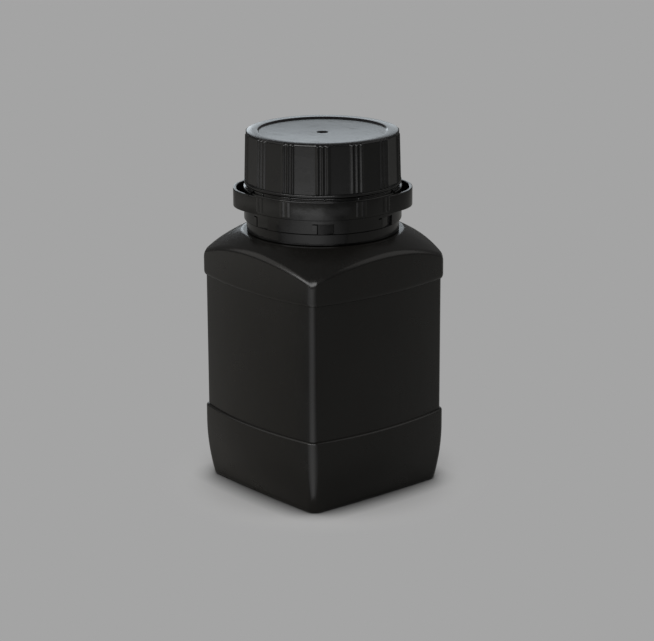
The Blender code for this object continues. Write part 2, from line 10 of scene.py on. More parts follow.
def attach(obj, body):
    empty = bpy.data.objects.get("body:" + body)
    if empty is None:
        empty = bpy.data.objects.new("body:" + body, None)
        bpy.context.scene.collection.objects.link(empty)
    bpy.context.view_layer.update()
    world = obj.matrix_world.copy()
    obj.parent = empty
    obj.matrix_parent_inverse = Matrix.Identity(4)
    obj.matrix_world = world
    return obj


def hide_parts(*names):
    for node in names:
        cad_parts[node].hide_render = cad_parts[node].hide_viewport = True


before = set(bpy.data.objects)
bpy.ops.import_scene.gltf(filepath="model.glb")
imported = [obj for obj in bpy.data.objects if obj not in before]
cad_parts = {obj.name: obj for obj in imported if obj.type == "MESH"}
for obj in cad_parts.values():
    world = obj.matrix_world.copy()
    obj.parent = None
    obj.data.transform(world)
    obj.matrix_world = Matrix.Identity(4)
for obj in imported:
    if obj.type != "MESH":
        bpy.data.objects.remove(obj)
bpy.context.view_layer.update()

# Sizes are in metres. A guard is the step to a row beside a round, which keeps the flat there flat.

# Body
BODY_SIDE = 0.0630
FACE_BOW_RADIUS = 0.1107
CORNER_RADIUS = 0.0035
PANEL_RECESS = 0.0008
BASE_SIDE = 0.0548
BASE_BOW_RADIUS = 0.6000
BASE_CORNER_RADIUS = 0.0034
BODY_WALL = 0.0013
BASE_EDGE_RADIUS = 0.0012
FOOT_WIDTH = 0.0050
PUSH_UP = 0.0022
PUSH_UP_POWER = 1.15
TAPER_TOP = 0.0190
PANEL_BOTTOM = 0.0237
PANEL_HEIGHT = 0.0463
LOWER_STEP = 0.0007
UPPER_STEP = 0.0015
UPPER_LIP_HEIGHT = 0.00635
LIP_GUARD = 0.0004
SHOULDER_FILLET = 0.0025
CORNER_FILLET = 0.0050
CORNER_EASE = math.radians(14.0)
DOME_RISE = 0.0081
LAND_RADIUS = 0.0261
NOTCH_WIDTH = 0.0027
NOTCH_HEIGHT = 0.00045
SEAM_HALF_WIDTH = 0.00035
SEAM_DEPTH = 0.00028
SEAM_ROOT = 0.0003
SEAM_SHARE = 0.94

# Neck and threads
NECK_RADIUS = 0.0215
NECK_WALL = 0.0018
MOUTH_EDGE_RADIUS = 0.0005
BORE_EDGE = 0.0004
BEAD_REACH = 0.0018
BEAD_HEIGHT = 0.0022
THREAD_PITCH = 0.0040
THREAD_HEIGHT = 0.0011
THREAD_BASE = 0.0022
THREAD_CREST = 0.0008
NECK_THREAD_TURNS = 2.0
NECK_THREAD_DROP = 0.0024
CAP_THREAD_TURNS = 1.5
CAP_THREAD_START = 0.25
THREAD_FADE_TURNS = 0.07
THREAD_CLEARANCE = 0.0004

# Cap and sealing disc
CAP_RADIUS = 0.0253
CAP_HEIGHT = 0.0170
CAP_DRAFT = 0.0004
CAP_BAND_HEIGHT = 0.0008
CAP_BAND_STEP = 0.00015
CAP_BAND_ROUND = (0.00006, 0.0001)
CAP_FOOT_ROUND = 0.00025
CAP_INNER_EDGE = 0.0003
CAP_EDGE = 0.0008
CAP_TOP_WALL = 0.00195
RIM_FALL = 0.00008
RIB_GROUPS = 14
RIB_GROUP_OFFSET = math.radians(-129.9)
RIB_PITCH = math.radians(3.65)
RIB_WIDTH = math.radians(2.5)
RIB_HEIGHT = 0.00040
RIB_RISE = 0.00035
DISC_RADIUS = 0.0208
RIM_DROP = 0.0002
RIM_GUARD = 0.0002
DISC_SLOPE = 0.0005
DISC_DEPTH = 0.0007
DISC_DISH = 0.0004
DISC_FLAT = 0.0003
DIMPLE_RADIUS = 0.0019
DIMPLE_DEPTH = 0.0008
DIMPLE_GUARD = 0.0001
CEILING_MIDDLE = 0.002
LINER_RADIUS = 0.0222
LINER_THICKNESS = 0.0012

# Shares of a rib's width and height across its right half, and of its rise out of the foot
RIB_HALF = ((0.08, 1.0), (0.17, 0.83), (0.45, 0.1), (0.5, 0.0))
RIB_PROFILE = [(-side, lift) for side, lift in reversed(RIB_HALF)] + list(RIB_HALF)
RIB_FOOT = ((0.0, 0.05), (0.25, 0.6), (0.6, 0.92), (1.0, 1.0))

# Soft edges over and under the disc's slope, as (outwards, upwards), and the dimple's shares
RIM_ROUND = ((0.0004, 0.0), (0.0002, -0.00001), (0.00006, -0.00004), (-0.00006, -0.00012))
DISC_ROUND = ((0.00005, 0.00006), (-0.00003, 0.00001), (-0.0002, 0.0))
DIMPLE_PROFILE = ((1.0, 0.0), (0.96, 0.08), (0.92, 0.8), (0.80, 1.0))

# Tamper-evident ring
RING_RADIUS = 0.0255
RING_WALL = 0.0016
RING_FOOT_RADIUS = 0.0246
RING_LIP_RADIUS = 0.0224
RING_FOOT_HEIGHT = 0.0034
RING_TAPER_HEIGHT = 0.0003
LOWER_BAND_HEIGHT = 0.0045
UPPER_BAND_HEIGHT = 0.0059
BAND_GROOVE = 0.00015
CAP_GAP = 0.00115
WINDOWS = 7
WINDOW_SPAN = math.radians(12.4)
WINDOW_OFFSET = math.radians(-134.2)
WINDOW_HEIGHT = 0.0033
WINDOW_RAMP = (0.0003, 0.0010)
WINDOW_SHADOW_GAP = math.radians(0.7)
TONGUE_SPAN = math.radians(24.5)
TONGUE_TIP_SLIT = math.radians(3.2)
SLIT_HEIGHT = 0.00035
TONGUE_SLIT = 0.00012
HOOK_REACH = 0.0012
HOOK_HEIGHT = 0.0016
EAR_RADIUS = 0.0288
EAR_ROOT_DEPTH = 0.0003
EAR_WALL = 0.0011
EAR_EDGE = 0.0003
EAR_HEIGHT = 0.0058
EAR_DROP = 0.00055
EAR_SPAN = math.radians(86.0)
EAR_TIP_SPAN = math.radians(10.0)
EAR_AXIS = math.radians(-39.7)
TEAR_NOTCH_SIZE = 0.0012
TEAR_NOTCH_ANGLE = math.radians(27.5)
BAND_RIB_RADIUS = 0.0018
BAND_RIB_WIDTH = 0.0018
BAND_RIB_HEIGHT = 0.00028
BAND_RIB_ROOT = 0.0006
BAND_RIB_SPACING = math.radians(4.1)
BAND_RIB_ANGLES = (math.radians(38.2), math.radians(61.9))
BRIDGES = 14
BRIDGE_RADIUS = 0.00035
RING_LIP_WALL = 0.0007

# Shared: the running gap, the least radius of a round, a hair's gap that keeps two faces apart,
# and a turn in radians that keeps the windows' edges off the shell's own
CLEARANCE = 0.0003
LEAST_RADIUS = 0.0002
HAIR = 0.00001
CUT_TURN = 0.0003

# Levels and radii that follow
PANEL_TOP = PANEL_BOTTOM + PANEL_HEIGHT
SHOULDER_EDGE = PANEL_TOP + UPPER_LIP_HEIGHT
LAND_LEVEL = SHOULDER_EDGE + DOME_RISE
RING_BOTTOM = LAND_LEVEL + CLEARANCE
LOWER_BAND_BOTTOM = RING_BOTTOM + RING_FOOT_HEIGHT + RING_TAPER_HEIGHT
UPPER_BAND_BOTTOM = LOWER_BAND_BOTTOM + LOWER_BAND_HEIGHT
RING_TOP = UPPER_BAND_BOTTOM + UPPER_BAND_HEIGHT
CAP_BOTTOM = RING_TOP + CAP_GAP
CAP_INNER_DEPTH = CAP_HEIGHT - DISC_DEPTH / 2 - CAP_TOP_WALL
LINER_TOP = CAP_BOTTOM + CAP_INNER_DEPTH - CLEARANCE
MOUTH_LEVEL = LINER_TOP - LINER_THICKNESS - CLEARANCE
WINDOW_TOP = LOWER_BAND_BOTTOM + WINDOW_HEIGHT
HOOK_TOP = WINDOW_TOP - 2 * SLIT_HEIGHT
BEAD_BOTTOM = HOOK_TOP + CLEARANCE
BORE_RADIUS = NECK_RADIUS - NECK_WALL
THREAD_FLANK = (THREAD_BASE - THREAD_CREST) / 2 / THREAD_HEIGHT
CAP_BORE = NECK_RADIUS + THREAD_HEIGHT + THREAD_CLEARANCE
CAP_FACET = CAP_RADIUS - CAP_DRAFT - RIB_HEIGHT
LINER_POCKET = LINER_RADIUS + CLEARANCE
RING_BORE = RING_RADIUS - RING_WALL
FOOT_SCALE = 1 - FOOT_WIDTH / (BASE_SIDE / 2)
FOOT_INNER = FOOT_SCALE * BASE_SIDE / 2

# Fineness of the forms
FACE_STEPS = 18
CORNER_STEPS = 14
RING_POINTS = 4 * (2 * FACE_STEPS + CORNER_STEPS)
OUTSIDE_STEPS = 10
INSIDE_STEPS = 4
ROUND_STEPS = 4
THREAD_TURN_STEPS = 144
NOTCH_STEPS = 256
SEAM_STEPS = 40
GAP_STEPS = 10
EDGE_STEPS = 12
RIB_FADE_STEPS = 7
DISH_STEPS = 12
RING_STEPS = 315
EAR_STEPS = 96
RAMP_STEPS = 8
BAND_RIB_STEPS = 10
BAR_POINTS = 16
HOOK_STEPS = 12
SHARP_ANGLE = math.radians(38)
CUT_SHARP_ANGLE = math.radians(32)


def polar(radius, angle, level=0.0):
    return Vector((radius * math.cos(angle), radius * math.sin(angle), level))


def quarter_turn(steps):
    """Angles from nought to a right angle."""
    return [math.pi / 2 * i / steps for i in range(steps + 1)]


def link_mesh(name, mesh):
    """The bmesh as a smooth object whose sharp edges stay sharp."""
    data = bpy.data.meshes.new(name)
    mesh.to_mesh(data)
    mesh.free()
    data.shade_smooth()
    data.set_sharp_from_angle(angle=SHARP_ANGLE)
    obj = bpy.data.objects.new(name, data)
    bpy.context.scene.collection.objects.link(obj)
    return obj


def add_rows(mesh, rows, close_rows=False):
    """Faces through rows of points. Each row is a loop; close_rows joins the last row to the first."""
    rings = [[mesh.verts.new(point) for point in row] for row in rows]
    count = len(rings[0])
    pairs = list(zip(rings[:-1], rings[1:]))
    if close_rows:
        pairs.append((rings[-1], rings[0]))
    for low, high in pairs:
        for i in range(count):
            j = (i + 1) % count
            mesh.faces.new((low[i], low[j], high[j], high[i]))
    if not close_rows:
        mesh.faces.new(rings[0][::-1])
        mesh.faces.new(rings[-1])


def loft(name, rows, close_rows=False):
    mesh = bmesh.new()
    add_rows(mesh, rows, close_rows)
    bmesh.ops.recalc_face_normals(mesh, faces=mesh.faces)
    return link_mesh(name, mesh)


def rounded(corners):
    """A closed outline through (x, y, radius) corners, each rounded to its radius."""
    result = []
    points = [Vector((x, y)) for x, y, _ in corners]
    for i, here in enumerate(points):
        before = (points[i - 1] - here).normalized()
        after = (points[(i + 1) % len(points)] - here).normalized()
        radius = corners[i][2]
        half = before.angle(after) / 2
        if radius <= 0 or abs(half - math.pi / 2) < 0.01:
            result.append(tuple(here))
            continue
        back = radius / math.tan(half)
        centre = here + (before + after).normalized() * radius / math.sin(half)
        start = here + before * back - centre
        end = here + after * back - centre
        for k in range(ROUND_STEPS + 1):
            mix = start.slerp(end, k / ROUND_STEPS)
            result.append(tuple(centre + mix.normalized() * radius))
    return result


def sector(inner, outer, start, span, level, steps):
    angles = [start + span * i / steps for i in range(steps + 1)]
    there = [polar(outer, angle, level) for angle in angles]
    back = [polar(inner, angle, level) for angle in reversed(angles)]
    return there + back


def cut(part, tool):
    """Take the tool's form out of the part, and the tool out of the scene."""
    boolean = part.modifiers.new("cut", "BOOLEAN")
    boolean.operation = "DIFFERENCE"
    boolean.solver = "EXACT"
    boolean.object = tool
    bpy.context.view_layer.update()
    graph = bpy.context.evaluated_depsgraph_get()
    result = bpy.data.meshes.new_from_object(part.evaluated_get(graph))
    part.modifiers.remove(boolean)
    part.data = result
    bpy.data.objects.remove(tool)
    part.data.shade_smooth()
    part.data.set_sharp_from_angle(angle=CUT_SHARP_ANGLE)


# Body


def plan_outline(side, bow_radius, corner_radius):
    """The body's outline from above, as (point, outward direction): bowed faces, round corners."""
    corner_radius = max(corner_radius, LEAST_RADIUS)
    shift = bow_radius - side / 2
    reach = bow_radius - corner_radius
    centre = (math.sqrt(2 * reach**2 - shift**2) - shift) / 2
    meet = math.atan2(centre, centre + shift)
    quarter = []
    for i in range(FACE_STEPS):
        out = polar(1.0, meet * i / FACE_STEPS)
        quarter.append((out * bow_radius - Vector((shift, 0.0, 0.0)), out))
    for i in range(CORNER_STEPS + 1):
        out = polar(1.0, meet + (math.pi / 2 - 2 * meet) * i / CORNER_STEPS)
        quarter.append((out * corner_radius + Vector((centre, centre, 0.0)), out))
    for i in range(1, FACE_STEPS):
        out = polar(1.0, math.pi / 2 - meet + meet * i / FACE_STEPS)
        quarter.append((out * bow_radius - Vector((0.0, shift, 0.0)), out))
    outline = []
    for turn in range(4):
        spin = Matrix.Rotation(turn * math.pi / 2, 3, "Z")
        outline += [(spin @ point, spin @ out) for point, out in quarter]
    return outline


def at_level(outline, level, moved_in=0.0, scale=1.0):
    return [(point - out * moved_in) * scale + Vector((0.0, 0.0, level)) for point, out in outline]


def blended(low_outline, high_outline, share, level):
    """A row between two outlines; share 1 is the low one."""
    pairs = zip(low_outline, high_outline)
    return [high.lerp(low, share) + Vector((0.0, 0.0, level)) for (low, _), (high, _) in pairs]


def circle(radius, level):
    return [polar(radius, 2 * math.pi * i / RING_POINTS, level) for i in range(RING_POINTS)]


def body_rows(inset, top_radius, steps):
    """Rows from the middle of the base to the land round the neck, inset from the surface."""
    lip = plan_outline(BODY_SIDE - 2 * inset, FACE_BOW_RADIUS - inset, CORNER_RADIUS - inset)
    deep = inset + PANEL_RECESS
    panel = plan_outline(BODY_SIDE - 2 * deep, FACE_BOW_RADIUS - deep, CORNER_RADIUS - deep)
    base = plan_outline(BASE_SIDE - 2 * inset, BASE_BOW_RADIUS - inset, BASE_CORNER_RADIUS - inset)
    edge = max(BASE_EDGE_RADIUS - inset, LEAST_RADIUS)
    return (
        base_rows(base, edge, inset, steps)
        + side_rows(base, lip, panel, inset + edge, steps)
        + shoulder_rows(lip, inset, top_radius, steps)
    )


def base_rows(base, edge, inset, steps):
    """The pushed-up middle, the flat foot with a soft inner edge, and the rounded edge round it."""
    rows = []
    for i in range(1, steps + 1):
        share = i / steps
        level = inset + PUSH_UP * (1 - share**2) ** PUSH_UP_POWER
        round_row = circle(share * FOOT_INNER, level)
        square_row = at_level(base, level, scale=share * FOOT_SCALE)
        rows.append([low.lerp(high, share) for low, high in zip(round_row, square_row)])
    for angle in quarter_turn(steps):
        level = inset + edge * (1 - math.cos(angle))
        rows.append(at_level(base, level, moved_in=edge * (1 - math.sin(angle))))
    return rows


def step_rows(low, high, start, height, steps, round_end):
    """A quarter round from one outline to another: soft at the proud lip, sharp at the panel."""
    rows = []
    for angle in quarter_turn(steps):
        if round_end == "low":
            share, rise = math.cos(angle), math.sin(angle)
        else:
            share, rise = 1 - math.sin(angle), 1 - math.cos(angle)
        rows.append(blended(low, high, share, start + height * rise))
    return rows


def side_rows(base, lip, panel, start, steps):
    """The curve from the foot to the lower lip, and the sunk label panel between the two lips."""
    rows = []
    count = 2 * steps
    for i in range(1, count + 1):
        rise = i / count
        rows.append(blended(base, lip, (1 - rise) ** 2, start + (TAPER_TOP - start) * rise))
    rows += step_rows(lip, panel, PANEL_BOTTOM, LOWER_STEP, steps, "low")
    rows.append(at_level(panel, PANEL_BOTTOM + LOWER_STEP + LIP_GUARD))
    rows.append(at_level(panel, PANEL_TOP - UPPER_STEP - LIP_GUARD))
    rows += step_rows(panel, lip, PANEL_TOP - UPPER_STEP, UPPER_STEP, steps, "high")
    rows.append(at_level(lip, PANEL_TOP + LIP_GUARD))
    return rows


def plan_reach():
    """Distance from the axis to the outermost point of a body corner."""
    outline = plan_outline(BODY_SIDE, FACE_BOW_RADIUS, CORNER_RADIUS)
    return max(point.length for point, _ in outline)


def shoulder_rows(lip, inset, top_radius, steps):
    """The rounded arches where the dome meets the faces, then the dome up to the neck's land."""
    corner_reach = plan_reach()
    centre_drop = (corner_reach**2 - LAND_RADIUS**2 - DOME_RISE**2) / (2 * DOME_RISE)
    dome_centre = SHOULDER_EDGE - centre_drop
    dome_radius = math.hypot(corner_reach, centre_drop) - inset

    def rounding(out):
        """The round's radius and its way in, both eased towards the middle of a corner."""
        off_face = math.pi / 4 - abs(math.atan2(abs(out.y), abs(out.x)) - math.pi / 4)
        share = min(1.0, max(0.0, (off_face - CORNER_EASE) / (math.pi / 4 - CORNER_EASE)))
        share = share * share * (3 - 2 * share)
        half = math.sqrt(0.5)
        corner = Vector((math.copysign(half, out.x), math.copysign(half, out.y), 0.0))
        fillet = SHOULDER_FILLET + (CORNER_FILLET - SHOULDER_FILLET) * share - inset
        return max(fillet, LEAST_RADIUS), out.lerp(corner, share).normalized()

    def dome(point):
        return dome_centre + math.sqrt(dome_radius**2 - point.length_squared)

    rows = []
    for i in range(steps + 1):
        row = []
        for point, out in lip:
            edge_level = dome(point)
            fillet, way = rounding(out)
            slope = point.dot(way) / math.sqrt(dome_radius**2 - point.length_squared)
            turn = math.pi / 2 - math.atan(slope)
            angle = turn * i / steps
            back = fillet * (1 - math.cos(angle))
            place = point - way * back
            sag = dome(place) - (edge_level + slope * back)
            level = edge_level - fillet * math.tan(turn / 2) + fillet * math.sin(angle) + sag
            row.append(place + Vector((0.0, 0.0, level)))
        rows.append(row)
    start = [Vector((point.x, point.y, 0.0)) for point in rows[-1]]
    end = circle(top_radius, 0.0)
    for i in range(1, 2 * steps + 1):
        row = []
        for low, high in zip(start, end):
            point = low.lerp(high, i / (2 * steps))
            row.append(point + Vector((0.0, 0.0, min(dome(point), LAND_LEVEL - inset))))
        rows.append(row)
    return rows


def neck_rows():
    """The land, the neck with its locking bead, the rounded mouth and the bore, as one turned form."""
    bead = NECK_RADIUS + BEAD_REACH
    low = BEAD_BOTTOM
    edge = MOUTH_EDGE_RADIUS
    corners = [
        (LAND_RADIUS - 0.0006, LAND_LEVEL, 0.0),
        (NECK_RADIUS, LAND_LEVEL, 0.0004),
        (NECK_RADIUS, low, 0.0002),
        (bead, low + 0.1 * BEAD_HEIGHT, 0.0003),
        (bead, low + 0.4 * BEAD_HEIGHT, 0.0003),
        (NECK_RADIUS, low + BEAD_HEIGHT, 0.0004),
        (NECK_RADIUS, MOUTH_LEVEL, edge),
        (BORE_RADIUS, MOUTH_LEVEL, edge),
        (BORE_RADIUS, LAND_LEVEL, 0.0),
    ]
    return [circle(radius, level) for radius, level in rounded(corners)]


def thread(name, wall_radius, inward, start_level, start_angle, turns):
    """A helical bar of trapezoid section with soft crest edges, sinking into the wall at both ends."""
    towards = -1 if inward else 1
    root = wall_radius - towards * 0.4 * THREAD_HEIGHT
    crest = wall_radius + towards * THREAD_HEIGHT
    sunk = wall_radius - towards * 0.2 * THREAD_HEIGHT
    half_root = THREAD_CREST / 2 + THREAD_FLANK * abs(crest - root)
    half_crest = THREAD_CREST / 2
    steps = round(turns * THREAD_TURN_STEPS)
    rows = []
    for i in range(steps + 1):
        share = i / steps
        to_end = min(share, 1 - share) * turns / THREAD_FADE_TURNS
        ease = math.sin(math.pi / 2 * min(1.0, to_end))
        tip = sunk + (crest - sunk) * ease
        soft = tip - towards * 0.12 * THREAD_HEIGHT
        angle = start_angle + 2 * math.pi * turns * share
        level = start_level + THREAD_PITCH * turns * share
        rows.append([
            polar(root, angle, level - half_root),
            polar(soft, angle, level - half_crest * 1.05),
            polar(tip, angle, level - half_crest * 0.7),
            polar(tip, angle, level + half_crest * 0.7),
            polar(soft, angle, level + half_crest * 1.05),
            polar(root, angle, level + half_root),
        ])
    return loft(name, rows)


def neck_thread_start():
    return MOUTH_LEVEL - NECK_THREAD_DROP - THREAD_PITCH * NECK_THREAD_TURNS


def make_body():
    outside = body_rows(0.0, LAND_RADIUS, OUTSIDE_STEPS)
    inside = body_rows(BODY_WALL, BORE_RADIUS + BORE_EDGE, INSIDE_STEPS)
    body = loft("bottle_shell", outside + neck_rows() + inside[::-1])
    cut(body, make_notch_tool())
    helix = thread("neck_thread", NECK_RADIUS, False, neck_thread_start(), 0.0, NECK_THREAD_TURNS)
    return [body, helix, make_base_seam()]


def make_notch_tool():
    """A lying cylinder whose top grazes the foot, for the shallow notch in two of its sides."""
    radius = (NOTCH_HEIGHT**2 + (NOTCH_WIDTH / 2) ** 2) / (2 * NOTCH_HEIGHT)
    lying = Matrix.Rotation(math.pi / 2, 4, "X")
    mesh = bmesh.new()
    bmesh.ops.create_cone(
        mesh,
        cap_ends=True,
        segments=NOTCH_STEPS,
        radius1=radius,
        radius2=radius,
        depth=1.2 * BASE_SIDE,
        matrix=Matrix.Translation((0.0, 0.0, NOTCH_HEIGHT - radius)) @ lying,
    )
    return link_mesh("notch", mesh)


def make_base_seam():
    """The low ridge that the mould leaves where it pinches the tube off across the base."""
    rows = []
    for i in range(SEAM_STEPS + 1):
        y = (2 * i / SEAM_STEPS - 1) * SEAM_SHARE * FOOT_INNER
        level = PUSH_UP * (1 - (y / FOOT_INNER) ** 2) ** PUSH_UP_POWER
        fade = min(1.0, 6 * min(i, SEAM_STEPS - i) / SEAM_STEPS)
        half = SEAM_HALF_WIDTH * fade + 2 * HAIR
        deep = SEAM_DEPTH * fade
        rows.append([
            Vector((-half, y, level + SEAM_ROOT)),
            Vector((-half * 0.6, y, level - deep * 0.7)),
            Vector((0.0, y, level - deep)),
            Vector((half * 0.6, y, level - deep * 0.7)),
            Vector((half, y, level + SEAM_ROOT)),
        ])
    return loft("base_seam", rows)


# Cap


def ribbed_row(radius, level, rib_height):
    """Round the cap: groups of three ribs with slanting flanks, and flats between the groups."""
    half_gap = math.pi / RIB_GROUPS - RIB_PITCH - RIB_WIDTH / 2
    row = []
    for group in range(RIB_GROUPS):
        middle = RIB_GROUP_OFFSET + 2 * math.pi * group / RIB_GROUPS
        for rib in (-1, 0, 1):
            for side, lift in RIB_PROFILE:
                angle = middle + rib * RIB_PITCH + side * RIB_WIDTH
                row.append(polar(radius + lift * rib_height, angle, level))
        for k in range(1, GAP_STEPS):
            off = -half_gap + 2 * half_gap * k / GAP_STEPS
            flat = math.cos(half_gap) / math.cos(off) if rib_height else 1.0
            row.append(polar(radius * flat, middle + math.pi / RIB_GROUPS + off, level))
    return row


def plain_rows(profile):
    """Round rows through (radius, level) points, with as many points as a ribbed row."""
    return [ribbed_row(radius, level, 0.0) for radius, level in profile]


def cap_inside_rows():
    """From the ceiling down: the liner's pocket, the bore, the rounded foot and its plain band."""
    ceiling = CAP_BOTTOM + CAP_INNER_DEPTH
    band_top = CAP_BOTTOM + CAP_BAND_HEIGHT
    round_middle = 0.28 * CAP_FOOT_ROUND
    return plain_rows([
        (CEILING_MIDDLE, ceiling),
        (LINER_POCKET - CAP_INNER_EDGE, ceiling),
        (LINER_POCKET, ceiling - CAP_INNER_EDGE),
        (LINER_POCKET, ceiling - CLEARANCE - LINER_THICKNESS),
        (CAP_BORE, ceiling - LINER_THICKNESS - THREAD_HEIGHT),
        (CAP_BORE, CAP_BOTTOM + CAP_INNER_EDGE),
        (CAP_BORE + CAP_INNER_EDGE, CAP_BOTTOM),
        (CAP_RADIUS - CAP_FOOT_ROUND, CAP_BOTTOM),
        (CAP_RADIUS - round_middle, CAP_BOTTOM + round_middle),
        (CAP_RADIUS, CAP_BOTTOM + CAP_FOOT_ROUND),
        (CAP_RADIUS, band_top - CAP_BAND_ROUND[1]),
        (CAP_RADIUS - CAP_BAND_ROUND[0], band_top),
    ])


def cap_skirt_rows():
    """The ribs, which rise out of the foot, follow the draft and fade into the rounded top edge."""
    foot = CAP_BAND_HEIGHT + CAP_BAND_STEP
    ribs_start = foot + RIB_RISE
    ribs_end = CAP_HEIGHT - RIM_DROP - 1.15 * CAP_EDGE
    rows = []
    for share, lift in RIB_FOOT:
        level = CAP_BOTTOM + foot + RIB_RISE * share
        rows.append(ribbed_row(CAP_RADIUS - RIB_HEIGHT, level, RIB_HEIGHT * lift))
    for share in (0.25, 0.5, 0.75, 1.0):
        radius = CAP_RADIUS - CAP_DRAFT * share - RIB_HEIGHT
        level = CAP_BOTTOM + ribs_start + (ribs_end - ribs_start) * share
        rows.append(ribbed_row(radius, level, RIB_HEIGHT))
    round_height = CAP_HEIGHT - RIM_DROP - RIM_FALL - ribs_end
    for i, angle in enumerate(quarter_turn(EDGE_STEPS)[1:], 1):
        lift = max(0.0, 1 - (i / RIB_FADE_STEPS) ** 2)
        radius = CAP_FACET - (CAP_EDGE - RIB_HEIGHT) * (1 - math.cos(angle))
        level = CAP_BOTTOM + ribs_end + round_height * math.sin(angle)
        rows.append(ribbed_row(radius, level, RIB_HEIGHT * lift))
    return rows


def cap_top_rows():
    """The flat rim, the slope to the sunk and dished disc, and the gate dimple in its middle."""
    rim = CAP_BOTTOM + CAP_HEIGHT - RIM_DROP
    disc = CAP_BOTTOM + CAP_HEIGHT - DISC_DEPTH
    inner = DISC_RADIUS - DISC_SLOPE
    profile = [(CAP_FACET - CAP_EDGE + RIB_HEIGHT - RIM_GUARD, rim)]
    profile += [(DISC_RADIUS + out, rim + up) for out, up in RIM_ROUND]
    profile += [(inner + out, disc + up) for out, up in DISC_ROUND]
    flat = inner - DISC_FLAT
    dimple_edge = DIMPLE_RADIUS + DIMPLE_GUARD
    for i in range(DISH_STEPS + 1):
        radius = flat + (dimple_edge - flat) * i / DISH_STEPS
        profile.append((radius, disc - DISC_DISH * (1 - (radius / flat) ** 2)))
    middle = disc - DISC_DISH
    for share, deep in DIMPLE_PROFILE:
        profile.append((share * DIMPLE_RADIUS, middle - deep * DIMPLE_DEPTH))
    profile.append((LEAST_RADIUS, middle - DIMPLE_DEPTH))
    return plain_rows(profile)


def make_cap():
    """The whole cap as one loft, from the ceiling inside to the dimple on top, and its thread."""
    cap = loft("cap_shell", cap_inside_rows() + cap_skirt_rows() + cap_top_rows())
    width_there = THREAD_BASE - 2 * THREAD_FLANK * THREAD_CLEARANCE
    gap = CLEARANCE * math.hypot(1.0, THREAD_FLANK)
    play = (THREAD_PITCH - THREAD_CREST - width_there) / 2 - gap
    level = neck_thread_start() - THREAD_PITCH / 2 + play + THREAD_PITCH * CAP_THREAD_START
    angle = 2 * math.pi * CAP_THREAD_START
    return [cap, thread("cap_thread", CAP_BORE, True, level, angle, CAP_THREAD_TURNS)]


# Tamper-evident ring


def ring_outline():
    """The ring's rounded section as (radius, level), down the outside and up the inside."""
    groove = RING_RADIUS - BAND_GROOVE
    foot = RING_BOTTOM - CLEARANCE / 2
    foot_middle = RING_BOTTOM + RING_FOOT_HEIGHT / 2
    lip_top = CAP_BOTTOM - CLEARANCE
    return rounded([
        (RING_RADIUS, RING_TOP, 0.00028),
        (RING_RADIUS, UPPER_BAND_BOTTOM, 0.00012),
        (groove, UPPER_BAND_BOTTOM - BAND_GROOVE, 0.0001),
        (groove, LOWER_BAND_BOTTOM, 0.0002),
        (RING_FOOT_RADIUS, RING_BOTTOM + RING_FOOT_HEIGHT, 0.0002),
        (RING_FOOT_RADIUS, foot, 0.0002),
        (RING_LIP_RADIUS, foot, 0.0002),
        (RING_LIP_RADIUS, foot_middle, 0.0002),
        (RING_BORE, foot_middle + RING_BORE - RING_LIP_RADIUS, 0.0003),
        (RING_BORE, lip_top, 0.00015),
        (RING_BORE + RING_LIP_WALL, lip_top, 0.00025),
        (RING_BORE + RING_LIP_WALL, RING_TOP, 0.0001),
    ])


def window_start(index):
    return WINDOW_OFFSET + 2 * math.pi * index / WINDOWS


def make_ring_shell():
    """The ring turned from its section, with its windows, slits and tear notches cut through."""
    outline = ring_outline()
    rows = []
    for i in range(RING_STEPS):
        angle = WINDOW_OFFSET + 2 * math.pi * i / RING_STEPS
        rows.append([polar(radius, angle, level) for radius, level in outline])
    shell = loft("ring_shell", rows, close_rows=True)
    outside = RING_RADIUS + RING_WALL
    foot, head = LOWER_BAND_BOTTOM, WINDOW_TOP
    into_window = WINDOW_SPAN / 4
    over = 2 * HAIR
    # Windows, slits under the tongues and slits over their tips, each as its turn from the
    # window's start, its span, bottom, top and steps
    cuts = (
        (CUT_TURN, WINDOW_SPAN, foot, head, 10),
        (-TONGUE_SPAN, TONGUE_SPAN + into_window, foot - over, foot + TONGUE_SLIT, 24),
        (-TONGUE_TIP_SLIT, TONGUE_TIP_SLIT + into_window, head - SLIT_HEIGHT, head + over, 6),
    )
    for offset, span, low, high, count in cuts:
        mesh = bmesh.new()
        for index in range(WINDOWS):
            start = window_start(index) + offset
            foot_end = sector(RING_LIP_RADIUS, outside, start, span, low, count)
            head_end = sector(RING_LIP_RADIUS, outside, start, span, high, count)
            add_rows(mesh, [foot_end, head_end])
        bmesh.ops.recalc_face_normals(mesh, faces=mesh.faces)
        cut(shell, link_mesh("cut", mesh))
    cut(shell, tear_notches())
    return shell


def tear_notches():
    """V cuts through the ring's top edge beside the ears' roots, where a pull tears the ring open."""
    mesh = bmesh.new()
    reach = (RING_BORE + EAR_RADIUS) / 2
    length = 1.2 * (EAR_RADIUS - RING_BORE)
    for axis in (EAR_AXIS, EAR_AXIS + math.pi):
        for side in (-1, 1):
            turn = Matrix.Rotation(axis + side * TEAR_NOTCH_ANGLE, 4, "Z")
            on_edge = Matrix.Rotation(math.pi / 4, 4, "X")
            place = turn @ Matrix.Translation((reach, 0.0, RING_TOP)) @ on_edge
            size = Matrix.Diagonal((length, TEAR_NOTCH_SIZE, TEAR_NOTCH_SIZE, 1.0))
            bmesh.ops.create_cube(mesh, size=1.0, matrix=place @ size)
    return link_mesh("tear_notches", mesh)


